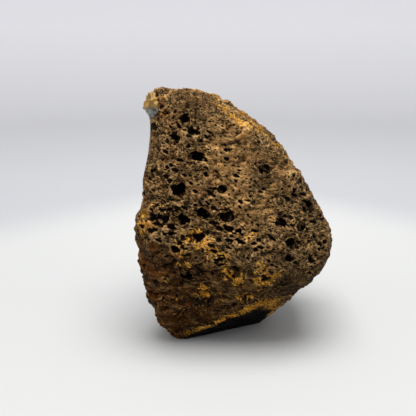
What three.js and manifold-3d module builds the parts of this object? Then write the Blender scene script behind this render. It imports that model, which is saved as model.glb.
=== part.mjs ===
// Amethyst geode: a thick broken piece of one, standing on a flat base.
// Millimetres, +Z up. The crystal hollow opens towards -Y, and the weathered back looks towards +Y.
// The origin is the middle of the underside of the whole piece's box.
import * as THREE from "three";
import { ImprovedNoise } from "three/addons/math/ImprovedNoise.js";
import { mergeVertices } from "three/addons/utils/BufferGeometryUtils.js";
import Module from "manifold-3d";

const wasm = await Module();
wasm.setup();

// ---- Driving dimensions ----
const HEART = new THREE.Vector3(0, 0, 68); // the point inside the stone that its faces are measured from
const EDGE_SHARPNESS = 22; // how crisply neighbouring broad faces meet
const STONE_STEPS = 11; // how finely the stone's skin is divided
const GAP = 0.3; // between the stone, the agate and the crystals, so that no two solids share space

// The stone's broad faces: the way each looks, as a turn from +X towards +Y and a tilt above level,
// both in degrees, and how far it lies from the heart.
const BROAD_FACES = [
  { turn: -90, tilt: 3, reach: 46 }, // the broken opening
  { turn: -92, tilt: -24, reach: 53 }, // broken away below the opening
  { turn: -35, tilt: 21, reach: 67 }, // near edge of the opening, above
  { turn: -44, tilt: -12, reach: 65 }, // near edge of the opening, below
  { turn: 18, tilt: 12, reach: 51 }, // near side, above
  { turn: 20, tilt: -24, reach: 52 }, // near side, below
  { turn: 55, tilt: 12, reach: 56 },
  { turn: 51, tilt: -40, reach: 58 },
  { turn: 85, tilt: -48, reach: 60 }, // back, underneath
  { turn: 108, tilt: -27, reach: 58 },
  { turn: 110, tilt: 0, reach: 59.5 }, // back
  { turn: 112, tilt: 27, reach: 52.5 }, // back, sloping up to the crown
  { turn: 110, tilt: 40, reach: 51 },
  { turn: 105, tilt: 57, reach: 58.8 },
  { turn: -120, tilt: 82, reach: 82.5 }, // crown
  { turn: 176, tilt: 6, reach: 61 }, // far side
  { turn: 160, tilt: -36, reach: 60 },
  { turn: 165, tilt: 42, reach: 62 },
  { turn: -135, tilt: -12, reach: 62 },
];
const ROUGHNESS = [
  { size: 30, height: 2.2 },
  { size: 12, height: 1.1 },
];
const LEDGES = { top: 58, spacing: 10, height: 1.0 }; // flow bands low on the stone

// The underside rises from the base towards the back in one clean break.
const UNDERCUT = { turn: 50, tilt: -52, reach: 59 };

// Lumps that stand out of the broad faces: spread is in degrees about the heart, height in mm.
const LUMPS = [
  { turn: -55, tilt: 56, spread: 7, height: 8 }, // the corner at the crown's near end
  { turn: -61, tilt: 49, spread: 4, height: -3 }, // a nick below it
  { turn: -42, tilt: 16, spread: 10, height: -4.5 },
  { turn: 60, tilt: 0, spread: 14, height: 1.5 },
];

// The larger gas holes on the near side and the back: width and height on the skin in mm.
const LARGE_HOLES = [
  { turn: -14, tilt: 29, width: 8, height: 10 },
  { turn: -6, tilt: 46, width: 9, height: 5 },
  { turn: -19, tilt: 13, width: 8, height: 5 },
  { turn: -12, tilt: 14, width: 8, height: 6 },
  { turn: 1, tilt: 19, width: 5, height: 5 },
  { turn: 12, tilt: 33, width: 4, height: 5 },
  { turn: 16, tilt: 17, width: 7, height: 4 },
  { turn: -3, tilt: 4, width: 8, height: 4 },
  { turn: 41, tilt: 41, width: 8, height: 5 },
  { turn: -18, tilt: 56, width: 5, height: 6 },
  { turn: 24, tilt: 59, width: 4, height: 5 },
  { turn: 72, tilt: 18, width: 8, height: 6 },
  { turn: 62, tilt: 8, width: 7, height: 5 },
  { turn: 49, tilt: 12, width: 8, height: 4 },
  { turn: 51, tilt: -8, width: 5, height: 5 },
  { turn: 12, tilt: -12, width: 6, height: 4 },
  { turn: -8, tilt: -19, width: 6, height: 5 },
  { turn: 55, tilt: 0, width: 7, height: 5 },
  { turn: -33, tilt: 34, width: 7, height: 6 },
  { turn: -27, tilt: 49, width: 6, height: 4 },
];
// Smaller ones strewn over the rest of the skin.
const STREWN_HOLES = { count: 42, size: [3.5, 7.5], lowest: -25, clearOfOpening: 0.55, seed: 11 };
const HOLE_DEPTH = 0.55; // of a hole's mean width

// The hollow, as an egg whose long axis leans towards the corner. Each lining is a smaller egg in the one
// before.
const HOLLOW = { centre: new THREE.Vector3(1.5, -48, 80), half: new THREE.Vector3(33, 42, 68), lean: 19 };
const HOLLOW_STEPS = 4;
const AGATE_THICKNESS = 5;
const CRUST_THICKNESS = 3;

// A lobe of bare agate that stands proud of the basalt at the corner.
const LOBE = { centre: new THREE.Vector3(30, -38, 139), half: new THREE.Vector3(5, 5.5, 10), lean: 20 };

const CRYSTALS = { count: 46, radius: [6.5, 10.5], tilt: 0.22, seed: 7 };

// ---- Helpers ----
const noise = new ImprovedNoise();
const radians = THREE.MathUtils.degToRad;

/** A repeatable source of numbers from 0 to 1. */
function randomFrom(seed) {
  let state = seed;
  return () => {
    state = (state * 1664525 + 1013904223) % 4294967296;
    return state / 4294967296;
  };
}

/** The unit vector that looks along a turn and a tilt given in degrees. */
function direction(turn, tilt) {
  const level = Math.cos(radians(tilt));
  return new THREE.Vector3(
    level * Math.cos(radians(turn)),
    level * Math.sin(radians(turn)),
    Math.sin(radians(tilt)),
  );
}

/** A closed mesh as a solid that can be cut and joined. */
function solidFrom(geometry) {
  const bare = new THREE.BufferGeometry().setAttribute("position", geometry.getAttribute("position"));
  if (geometry.index) bare.setIndex(geometry.index);
  const merged = mergeVertices(bare, 1e-4);
  const corners = merged.index.array;
  const kept = [];
  for (let i = 0; i < corners.length; i += 3) {
    const [a, b, c] = [corners[i], corners[i + 1], corners[i + 2]];
    if (a !== b && b !== c && a !== c) kept.push(a, b, c);
  }
  return new wasm.Manifold(
    new wasm.Mesh({
      numProp: 3,
      vertProperties: Float32Array.from(merged.attributes.position.array),
      triVerts: Uint32Array.from(kept),
    }),
  );
}

/** A solid as a geometry that a mesh can show. */
function geometryFrom(solid) {
  const { numProp, numVert, vertProperties, triVerts } = solid.getMesh();
  const positions = new Float32Array(numVert * 3);
  for (let i = 0; i < numVert; i++) {
    positions.set(vertProperties.subarray(i * numProp, i * numProp + 3), i * 3);
  }
  return new THREE.BufferGeometry()
    .setAttribute("position", new THREE.BufferAttribute(positions, 3))
    .setIndex(new THREE.BufferAttribute(triVerts, 1));
}

/** Moves every point of a geometry by a rule that turns one position into another. */
function reshape(geometry, rule) {
  const positions = geometry.attributes.position;
  const point = new THREE.Vector3();
  for (let i = 0; i < positions.count; i++) {
    rule(point.fromBufferAttribute(positions, i));
    positions.setXYZ(i, point.x, point.y, point.z);
  }
  return geometry;
}

// ---- The stone ----
const broadFaces = BROAD_FACES.map(({ turn, tilt, reach }) => direction(turn, tilt).divideScalar(reach));

/** How far the smooth stone reaches from its heart along a unit vector. */
function smoothReach(way) {
  let sum = 0;
  for (const face of broadFaces) sum += Math.max(0, face.dot(way)) ** EDGE_SHARPNESS;
  return sum ** (-1 / EDGE_SHARPNESS);
}

const lumps = LUMPS.map((lump) => ({ ...lump, way: direction(lump.turn, lump.tilt) }));

/** How far the lumps and ledges stand out at a point of the smooth stone, seen along a way. */
function relief(point, way) {
  let height = 0;
  for (const lump of lumps) {
    const angle = THREE.MathUtils.radToDeg(lump.way.angleTo(way)) / lump.spread;
    height += lump.height * Math.exp(-angle * angle);
  }
  for (const { size, height: amount } of ROUGHNESS) {
    height += amount * noise.noise(point.x / size + 5, point.y / size + 9, point.z / size + 2);
  }
  const lowness = THREE.MathUtils.smoothstep(LEDGES.top - point.z, 0, 20);
  const wander = 4 * noise.noise(point.x / 35, point.y / 35, 7);
  const step = (point.z + 0.15 * point.x + wander) / LEDGES.spacing;
  return height + lowness * LEDGES.height * (step - Math.floor(step) - 0.5);
}

/** The point of the skin that lies along a unit vector from the heart. */
function skinPoint(way) {
  const point = way.clone().multiplyScalar(smoothReach(way)).add(HEART);
  return point.addScaledVector(way, relief(point, way));
}

/** A hollow blob that cuts one gas hole, slightly crooked, into the skin. */
function holeSolid({ turn, tilt, width, height }, steps) {
  const way = direction(turn, tilt);
  const depth = (HOLE_DEPTH * (width + height)) / 2;
  const facing = new THREE.Matrix4().lookAt(way, new THREE.Vector3(), new THREE.Vector3(0, 0, 1));
  const blob = reshape(new THREE.IcosahedronGeometry(1, steps), (point) => {
    point.multiplyScalar(1 + 0.25 * noise.noise(2 * point.x + turn, 2 * point.y + tilt, 2 * point.z));
  });
  return solidFrom(
    blob
      .scale(width / 2, height / 2, depth)
      .applyMatrix4(facing)
      .translate(...skinPoint(way).toArray()),
  );
}

/** The strewn holes: a spiral of even spacing over the skin, kept off the opening and the underside. */
function strewnHoles() {
  const { count, size, lowest, clearOfOpening, seed } = STREWN_HOLES;
  const random = randomFrom(seed);
  const taken = LARGE_HOLES.map(({ turn, tilt }) => direction(turn, tilt));
  const holes = [];
  for (let i = 0; i < count; i++) {
    const tilt = THREE.MathUtils.radToDeg(Math.asin(1 - (2 * i + 1) / count));
    const turn = (i * 137.508 + 20 * random()) % 360;
    const width = size[0] + (size[1] - size[0]) * random() ** 2;
    const height = width * (0.55 + 0.4 * random());
    const way = direction(turn, tilt);
    const free = taken.every((other) => other.angleTo(way) > 0.2);
    if (free && tilt > lowest && -way.y < clearOfOpening) holes.push({ turn, tilt, width, height });
  }
  return holes;
}

function stoneSolid() {
  const skin = reshape(new THREE.IcosahedronGeometry(1, STONE_STEPS), (point) => {
    point.copy(skinPoint(point.clone().normalize()));
  });
  const ground = new THREE.BoxGeometry(400, 400, 100).translate(0, 0, -50);
  const large = LARGE_HOLES.map((hole) => holeSolid(hole, 1));
  const strewn = strewnHoles().map((hole) => holeSolid(hole, 0));
  const down = direction(UNDERCUT.turn, UNDERCUT.tilt);
  return solidFrom(skin)
    .subtract(wasm.Manifold.union([solidFrom(ground), ...large, ...strewn]))
    .trimByPlane(down.clone().negate().toArray(), -UNDERCUT.reach - down.dot(HEART));
}

// ---- The hollow and its linings ----
/** Takes a geometry that is modelled upright about the egg's middle to where the hollow is. */
function intoHollow(geometry) {
  const { centre, lean } = HOLLOW;
  return geometry.rotateY(radians(lean)).translate(centre.x, centre.y, centre.z);
}

/** The egg-shaped hollow, shrunk by an inset on every side. */
function hollowSolid(inset) {
  const skin = reshape(new THREE.IcosahedronGeometry(1, HOLLOW_STEPS), (point) => {
    const wave = 1 + 0.07 * noise.noise(point.x * 1.6 + 3, point.y * 1.6, point.z * 1.6);
    const half = HOLLOW.half.clone().multiplyScalar(wave).subScalar(inset);
    point.normalize().multiply(half);
  });
  return solidFrom(intoHollow(skin));
}

/** The agate lobe, grown by a margin on every side. */
function lobeSolid(margin) {
  const { centre, half, lean } = LOBE;
  const lobe = reshape(new THREE.IcosahedronGeometry(1, 1), (point) => {
    point.multiplyScalar(1 + 0.12 * noise.noise(2 * point.x, 2 * point.y, 2 * point.z));
  });
  return solidFrom(
    lobe
      .scale(half.x + margin, half.y + margin, half.z + margin)
      .rotateX(radians(lean))
      .translate(centre.x, centre.y, centre.z),
  );
}

/** One six-sided crystal point whose tip sits a little off its axis, standing on the XZ plane. */
function crystalPoint(radius, random) {
  const tip = (0.95 + 0.3 * random()) * radius;
  const root = -0.5 * CRUST_THICKNESS;
  const profile = [new THREE.Vector2(0, root), new THREE.Vector2(radius, root), new THREE.Vector2(0, tip)];
  const lean = new THREE.Vector2(random() - 0.5, random() - 0.5).multiplyScalar(0.5 * radius);
  return reshape(new THREE.LatheGeometry(profile, 6), (point) => {
    if (point.y < tip - 0.01) return;
    point.x += lean.x;
    point.z += lean.y;
  });
}

/** The crust: a thin shell against the agate, with crystal points all over its inside. */
function crustSolid(stone) {
  const inset = AGATE_THICKNESS + GAP;
  const bed = hollowSolid(inset);
  const half = HOLLOW.half.clone().subScalar(inset + CRUST_THICKNESS);
  const random = randomFrom(CRYSTALS.seed);
  const upright = new THREE.Vector3(0, 1, 0);
  const [small, large] = CRYSTALS.radius;
  const points = [];
  for (let i = 0; i < CRYSTALS.count; i++) {
    // Evenly spread over the inner half of the egg, by the golden angle about its way in.
    const depth = (i + 0.5) / CRYSTALS.count;
    const around = i * Math.PI * (3 - Math.sqrt(5));
    const level = Math.sqrt(1 - depth * depth);
    const way = new THREE.Vector3(level * Math.cos(around), depth, level * Math.sin(around));
    const place = way.clone().multiply(half);
    const stray = new THREE.Vector3(random() - 0.5, random() - 0.5, random() - 0.5);
    const inward = way.divide(half).normalize().negate();
    inward.addScaledVector(stray, 2 * CRYSTALS.tilt).normalize();
    const point = crystalPoint(small + (large - small) * random() ** 1.6, random)
      .rotateY(random() * Math.PI)
      .applyQuaternion(new THREE.Quaternion().setFromUnitVectors(upright, inward))
      .translate(place.x, place.y, place.z);
    points.push(solidFrom(intoHollow(point)));
  }
  const shell = bed.subtract(hollowSolid(inset + CRUST_THICKNESS));
  return wasm.Manifold.union([shell, ...points]).intersect(bed).intersect(stone);
}

// ---- The three pieces ----
/** The main body of a solid, without the sealed voids and loose crumbs that joining and cutting leave. */
function mainBody(solid) {
  return solid.decompose().reduce((best, body) => (body.volume() > best.volume() ? body : best));
}

function namedMesh(name, solid, material) {
  const mesh = new THREE.Mesh(geometryFrom(mainBody(solid).simplify(0.05)), material);
  mesh.name = name;
  return mesh;
}

const stone = stoneSolid();
const rind = stone.subtract(hollowSolid(0)).subtract(lobeSolid(GAP));
const agate = stone.intersect(hollowSolid(GAP)).add(lobeSolid(0)).subtract(hollowSolid(AGATE_THICKNESS));
const crust = crustSolid(stone);

const basaltLook = new THREE.MeshStandardMaterial({ color: 0x6b4c2c, roughness: 0.85, metalness: 0 });
const agateLook = new THREE.MeshStandardMaterial({ color: 0x8d9a9c, roughness: 0.35, metalness: 0 });
const amethystLook = new THREE.MeshStandardMaterial({ color: 0x5b3a8c, roughness: 0.1, metalness: 0 });

const geode = new THREE.Group();
geode.add(
  namedMesh("basalt_rind", rind, basaltLook),
  namedMesh("agate_lining", agate, agateLook),
  namedMesh("amethyst_crust", crust, amethystLook),
);

const box = new THREE.Box3().setFromObject(geode);
geode.position.set(-(box.min.x + box.max.x) / 2, -(box.min.y + box.max.y) / 2, -box.min.z);

export default geode;
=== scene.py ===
"""Amethyst geode on a pale studio floor.

A thick broken piece of a geode: a weathered, pitted basalt stone with an agate lining and a crust of
amethyst crystals in its hollow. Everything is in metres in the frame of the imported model. Sizes whose
names end in _mm are millimetres, and directions are a turn from +X towards +Y and a tilt above level.
"""

import logging
import math
from collections.abc import Sequence
from dataclasses import dataclass, field
from enum import Enum
from typing import Any

import bmesh
import bpy
import numpy as np
from mathutils import Matrix, Vector


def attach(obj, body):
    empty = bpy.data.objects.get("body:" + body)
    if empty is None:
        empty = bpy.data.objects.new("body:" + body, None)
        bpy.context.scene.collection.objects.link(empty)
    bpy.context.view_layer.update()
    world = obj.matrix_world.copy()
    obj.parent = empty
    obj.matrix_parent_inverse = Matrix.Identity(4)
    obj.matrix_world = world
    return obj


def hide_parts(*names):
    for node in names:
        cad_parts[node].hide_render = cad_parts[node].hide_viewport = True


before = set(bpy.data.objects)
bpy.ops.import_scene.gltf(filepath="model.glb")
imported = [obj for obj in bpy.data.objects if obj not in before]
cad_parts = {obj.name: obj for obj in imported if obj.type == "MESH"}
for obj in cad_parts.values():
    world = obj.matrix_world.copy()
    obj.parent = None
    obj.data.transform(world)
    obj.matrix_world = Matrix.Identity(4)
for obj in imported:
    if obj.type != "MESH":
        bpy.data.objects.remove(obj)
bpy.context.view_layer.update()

MM = 0.001
HEART_MM = (1.2, -8.6, 68.0)  # the point inside the stone that directions are measured from

MATH = "ShaderNodeMath"
VECTOR = "ShaderNodeVectorMath"
RANGE = "ShaderNodeMapRange"
NOISE = "ShaderNodeTexNoise"
NOTED = "ShaderNodeAttribute"
OBJECT_PLACE = "ShaderNodeTexCoord"
BUMP = "ShaderNodeBump"
PRINCIPLED = "ShaderNodeBsdfPrincipled"
OUTPUT = "ShaderNodeOutputMaterial"
RANDOM = "FunctionNodeRandomValue"
STORED = "GeometryNodeInputNamedAttribute"
STORE = "GeometryNodeStoreNamedAttribute"
PLACE = "GeometryNodeInputPosition"
NORMAL = "GeometryNodeInputNormal"
MOVE = "GeometryNodeSetPosition"
BLUR = "GeometryNodeBlurAttribute"
JOIN = "GeometryNodeJoinGeometry"
COAT = "GeometryNodeSetMaterial"

SMOOTH = {"interpolation_type": "SMOOTHSTEP"}
SOCKETS = {float: "NodeSocketFloat", int: "NodeSocketInt"}
MATERIAL = "NodeSocketMaterial"
COLLECTION = "NodeSocketCollection"

log = logging.getLogger("geode")

Tree, Piece, Mesh, Material = bpy.types.NodeTree, bpy.types.Object, bpy.types.Mesh, bpy.types.Material
Triple = tuple[float, float, float]
Spot = tuple[float, float, float, float]  # turn and tilt in degrees, reach and radius in mm


class Slot(Enum):
    """The record's material slots."""

    BASALT = "basalt"
    AGATE = "agate"
    AMETHYST = "amethyst"


# ---- Small tools for node trees ----


def linear(hex_colour: str) -> tuple[float, float, float, float]:
    """The linear red, green and blue of an sRGB colour in hexadecimal digits, and an alpha of one."""
    parts = [int(hex_colour[i : i + 2], 16) / 255 for i in (0, 2, 4)]
    return (*(c / 12.92 if c <= 0.04045 else ((c + 0.055) / 1.055) ** 2.4 for c in parts), 1.0)


def add_node(tree: Tree, kind: str, links: dict[str | int, Any], **settings: Any) -> Any:
    """Adds a node, sets its properties and fills its inputs.

    Args:
        tree: The tree that gets the node.
        kind: The node's type.
        links: Input names or numbers, each with a value or the output sockets that feed it.
        settings: The node's properties.

    Returns:
        The outputs of the new node.
    """
    node = tree.nodes.new(kind)
    for name, value in settings.items():
        setattr(node, name, value)
    for key, value in links.items():
        feeds = value if isinstance(value, list) else [value]
        if isinstance(feeds[0], bpy.types.NodeSocket):
            for feed in feeds:
                tree.links.new(feed, node.inputs[key])
        else:
            node.inputs[key].default_value = value
    return node.outputs


def weighed(tree: Tree, first: Any, *parts: tuple[Any, Any]) -> Any:
    """Adds up numbers, each with its own weight.

    Args:
        tree: The tree that gets the nodes.
        first: The socket or number to start from.
        parts: Sockets, each with its weight.

    Returns:
        The socket of the sum.
    """
    for part, weight in parts:
        first = add_node(tree, MATH, {0: part, 1: weight, 2: first}, operation="MULTIPLY_ADD")[0]
    return first


def product(tree: Tree, first: Any, *others: Any) -> Any:
    """Multiplies numbers.

    Args:
        tree: The tree that gets the nodes.
        first: The first socket.
        others: The sockets or numbers to multiply it by.

    Returns:
        The socket of the product.
    """
    for other in others:
        first = add_node(tree, MATH, {0: first, 1: other}, operation="MULTIPLY")[0]
    return first


def layered(tree: Tree, ground: Any, *coats: tuple[Any, Any]) -> Any:
    """Lays colours over one another.

    Args:
        tree: The tree that gets the nodes.
        ground: The lowest colour, a socket or hexadecimal digits.
        coats: The colours over it, each after the share of the ground that it covers.

    Returns:
        The socket of the blended colour.
    """
    for share, colour in coats:
        under, over = (linear(end) if isinstance(end, str) else end for end in (ground, colour))
        ends = {"Factor": share, 6: under, 7: over}
        ground = add_node(tree, "ShaderNodeMix", ends, data_type="RGBA")[2]
    return ground


def span(least: float, most: float, low: float = 0.0, high: float = 1.0) -> dict[str, float]:
    """The limits between which a number is read, and what they become."""
    return {"From Min": least, "From Max": most, "To Min": low, "To Max": high}


def grain(scale: float, detail: float, rough: float = 0.5) -> dict[str, float]:
    """How large a noise's waves are, how many finer ones ride on them and how strong those are."""
    return {"Scale": scale, "Detail": detail, "Roughness": rough}


def blank_finish(name: str) -> tuple[Material, Tree]:
    """Starts a material.

    Args:
        name: The material's name.

    Returns:
        The material and its empty tree.
    """
    made = bpy.data.materials.new(name)
    made.use_nodes = True
    made.node_tree.nodes.clear()
    return made, made.node_tree


def new_tree(name: str, inputs: dict[str, Any]) -> tuple[Tree, Any]:
    """Starts a Geometry Nodes tree with named inputs.

    Args:
        name: The tree's name.
        inputs: Input names, each with its default number, or its socket type where it has none.

    Returns:
        The tree and the sockets of its inputs.
    """
    tree = bpy.data.node_groups.new(name, "GeometryNodeTree")
    tree.interface.new_socket("Geometry", in_out="OUTPUT", socket_type="NodeSocketGeometry")
    tree.interface.new_socket("Geometry", in_out="INPUT", socket_type="NodeSocketGeometry")
    for label, value in inputs.items():
        kind = SOCKETS.get(type(value), value)
        socket = tree.interface.new_socket(label, in_out="INPUT", socket_type=kind)
        if type(value) in SOCKETS:
            socket.default_value = value
    return tree, tree.nodes.new("NodeGroupInput").outputs


def end_tree(tree: Tree, shape: Any, coats: Sequence[dict[str, Any]]) -> None:
    """Ends a tree in plain mesh with its finishes.

    Args:
        tree: The tree.
        shape: The socket of the finished shape.
        coats: The finishes, each with the selection that it covers where that isn't everything.
    """
    shape = add_node(tree, "GeometryNodeRealizeInstances", {0: shape})[0]
    for coat in coats:
        shape = add_node(tree, COAT, {"Geometry": shape, **coat})[0]
    add_node(tree, "NodeGroupOutput", {0: shape})


# ---- Small tools for meshes ----


def direction(turn: float, tilt: float) -> np.ndarray:
    """The unit vector that looks along a turn and a tilt given in degrees."""
    turn, tilt = math.radians(turn), math.radians(tilt)
    return np.array((math.cos(tilt) * math.cos(turn), math.cos(tilt) * math.sin(turn), math.sin(tilt)))


def from_heart(turn: float, tilt: float, reach_mm: float) -> np.ndarray:
    """The point that lies some way from the stone's heart, in millimetres."""
    return np.array(HEART_MM) + reach_mm * direction(turn, tilt)


def linked(name: str, data: bpy.types.ID) -> Piece:
    """Makes an object and puts it in the scene.

    Args:
        name: The object's name.
        data: Its mesh, lamp or camera.

    Returns:
        The object.
    """
    made = bpy.data.objects.new(name, data)
    bpy.context.scene.collection.objects.link(made)
    return made


def dress_by(piece: Piece, tree: Tree, values: dict[str, Any]) -> None:
    """Puts a Geometry Nodes tree on a piece.

    Args:
        piece: The object that gets the modifier.
        tree: The tree.
        values: Input names with the values that differ from the tree's own.
    """
    modifier = piece.modifiers.new(tree.name, "NODES")
    modifier.node_group = tree
    names = {item.name: item.identifier for item in tree.interface.items_tree if item.in_out == "INPUT"}
    for name, value in values.items():
        modifier[names[name]] = value


def baked(piece: Piece, name: str) -> Piece:
    """Turns an object with live modifiers into a plain mesh object.

    Args:
        piece: The object, which is removed.
        name: The new object's name.

    Returns:
        The plain object, at the origin.
    """
    bpy.context.view_layer.update()
    evaluated = piece.evaluated_get(bpy.context.evaluated_depsgraph_get())
    mesh = bpy.data.meshes.new_from_object(evaluated)
    spent = piece.data
    bpy.data.objects.remove(piece)
    bpy.data.meshes.remove(spent)
    mesh.name = name
    return linked(name, mesh)


def copy_of_node(node: str) -> Piece:
    """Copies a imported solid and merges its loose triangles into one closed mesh.

    Args:
        node: The solid's name.

    Returns:
        The copy.
    """
    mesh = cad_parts[node].data.copy()
    mesh.materials.clear()
    body = bmesh.new()
    body.from_mesh(mesh)
    bmesh.ops.remove_doubles(body, verts=body.verts, dist=0.01 * MM)
    body.to_mesh(mesh)
    body.free()
    for layer in list(mesh.uv_layers):
        mesh.uv_layers.remove(layer)
    return linked(node + " copy", mesh)


def even_copy(node: str, name: str, grain_mm: float) -> Piece:
    """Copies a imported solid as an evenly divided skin, fine enough to model.

    Args:
        node: The solid's name.
        name: The piece's name.
        grain_mm: The space between its points.

    Returns:
        The plain mesh object.
    """
    piece = copy_of_node(node)
    even = piece.modifiers.new("Even skin", "REMESH")
    even.mode = "VOXEL"
    even.voxel_size = grain_mm * MM
    return baked(piece, name)


def hand_over(piece: Piece, node: str) -> Piece:
    """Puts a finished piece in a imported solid's place.

    Args:
        piece: The finished piece.
        node: The solid that it replaces.

    Returns:
        The piece.
    """
    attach(piece, "root")
    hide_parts(node)
    return piece


def points_mm(mesh: Mesh) -> np.ndarray:
    """Reads the points of a mesh.

    Args:
        mesh: The mesh.

    Returns:
        The points in millimetres, one row each.
    """
    flat = np.empty(len(mesh.vertices) * 3, np.float32)
    mesh.vertices.foreach_get("co", flat)
    return flat.reshape(-1, 3).astype(float) / MM


def note(mesh: Mesh, **notes: np.ndarray) -> None:
    """Stores numbers for each point of a mesh.

    Args:
        mesh: The mesh.
        notes: The numbers, under the names that they are stored by.
    """
    for name, values in notes.items():
        layer = mesh.attributes.new(name, "FLOAT", "POINT")
        layer.data.foreach_set("value", values.astype(np.float32))


def ramp(values: np.ndarray, start: float, width: float, least: float = 0.0) -> np.ndarray:
    """Rises evenly from a least value at a start to 1 at a width past it."""
    return np.clip((values - start) / width, least, 1)


# ---- The hollow's own shape ----


@dataclass(frozen=True)
class Hollow:
    """The leaning egg that the hollow and its linings follow, and the two breaks that open it."""

    centre_mm: Triple = (2.74, -56.64, 80.0)
    half_mm: Triple = (33.0, 42.0, 68.0)
    lean: float = 19.0
    breaks: Sequence[Triple] = ((-90.0, 3.0, 46.0), (-92.0, -24.0, 53.0))  # turn, tilt, reach

    def level(self, points: np.ndarray) -> np.ndarray:
        """How far out each point lies, as a share of the egg: 1 on its skin, less inside.

        Args:
            points: Points in millimetres, one row each.

        Returns:
            One number for each point.
        """
        upright = np.array(Matrix.Rotation(math.radians(-self.lean), 3, "Y"))
        local = (points - np.array(self.centre_mm)) @ upright.T
        return np.linalg.norm(local / np.array(self.half_mm), axis=1)

    def depth(self, points: np.ndarray) -> np.ndarray:
        """How many millimetres behind the broken opening each point lies."""
        away = points - np.array(HEART_MM)
        return np.min([reach - away @ direction(turn, tilt) for turn, tilt, reach in self.breaks], axis=0)

    def trimmed(self, points: np.ndarray, margin_mm: float) -> np.ndarray:
        """Moves what juts out of the opening back behind it.

        Args:
            points: Points in millimetres, one row each.
            margin_mm: How far behind the break they stay.

        Returns:
            The points, moved where needed.
        """
        moved = points.copy()
        for turn, tilt, reach in self.breaks:
            way = direction(turn, tilt)
            over = (moved - np.array(HEART_MM)) @ way - (reach - margin_mm)
            moved -= np.clip(over, 0, None)[:, None] * way
        return moved


# ---- Patterns shared by shapes and finishes ----


@dataclass(frozen=True)
class Skin:
    """The lava's skin in a shape's or a finish's tree, with the patterns that both read from its place."""

    tree: Tree
    place: Any  # the socket of the place, in millimetres

    def along_flow(self, shares: Triple, dip: float = 0.3, place: Any = None) -> Any:
        """Lays a place level with the lava's flow and squeezes or stretches it.

        Args:
            shares: What it is multiplied by along, across and up.
            dip: How steeply the flow falls towards +Y, in radians.
            place: The socket of another place than the skin's own.

        Returns:
            The socket of the place in the flow.
        """
        place = self.place if place is None else place
        turn = {"Vector": place, "Rotation": (dip, 0.12, 0.0)}
        level = add_node(self.tree, "ShaderNodeVectorRotate", turn, rotation_type="EULER_XYZ")[0]
        return add_node(self.tree, VECTOR, {0: level, 1: shares}, operation="MULTIPLY")[0]

    def streaked(self) -> Any:
        """Draws the place out along a flow that wanders from spot to spot.

        Returns:
            The socket of the place that streaky patterns read.
        """
        bend = add_node(self.tree, NOISE, {"Vector": self.place, **grain(0.07, 1.0)})[1]
        wander = {0: bend, 1: (20.0,) * 3, 2: self.place}
        bent = add_node(self.tree, VECTOR, wander, operation="MULTIPLY_ADD")[0]
        return self.along_flow((0.5, 0.5, 1.4), place=bent)

    def ridges(self, wave: Any, width: float) -> Any:
        """Draws thin ridges where a noise crosses its middle.

        Args:
            wave: The noise's socket.
            width: How far from its middle they fade out.

        Returns:
            The socket that is 1 on a ridge and 0 away from it.
        """
        away = add_node(self.tree, MATH, {0: wave, 1: 0.5}, operation="SUBTRACT")[0]
        away = add_node(self.tree, MATH, {0: away}, operation="ABSOLUTE")[0]
        return add_node(self.tree, RANGE, {"Value": away, **span(0.0, width, 1.0, 0.0)})[0]

    def crests(self) -> Any:
        """Draws the thin crests that stand between torn-open bubbles, about 2 mm apart.

        Returns:
            The socket that is 1 on a crest and 0 away from it.
        """
        waves = {"Vector": self.streaked(), **grain(0.45, 3.0, 0.6), "Distortion": 0.4}
        return self.ridges(add_node(self.tree, NOISE, waves)[0], 0.09)

    def flow_bands(self, height_mm: float, sharp: bool = True) -> Any:
        """Draws the wrinkles of flowing lava, which run nearly level.

        Args:
            height_mm: How far apart the wrinkles are.
            sharp: Whether they have crests, or roll softly.

        Returns:
            The socket of the wrinkles' height, from 0 to 1.
        """
        near = 1 / height_mm
        flat = self.along_flow((0.3 * near, 0.3 * near, near), dip=0.1)
        wave = add_node(self.tree, NOISE, {"Vector": flat, **grain(1.0, 3.0), "Distortion": 1.0})[0]
        if sharp:
            return self.ridges(wave, 0.16)
        return add_node(self.tree, RANGE, {"Value": wave, **span(0.25, 0.75)})[0]

    def torn_pits(self, pits: Any) -> Any:
        """Tears the outlines of the single large pits.

        Args:
            pits: The socket of the pits' plain form, highest in their middle.

        Returns:
            The socket that is 1 in a pit and 0 outside.
        """
        ragged = {"Vector": self.along_flow((0.4, 0.4, 0.75)), **grain(1.0, 4.0, 0.65)}
        ragged = add_node(self.tree, NOISE, ragged)[0]
        torn = {"Value": weighed(self.tree, pits, (ragged, 5.0)), **span(3.15, 3.4)}
        return add_node(self.tree, RANGE, torn, **SMOOTH)[0]


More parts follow.
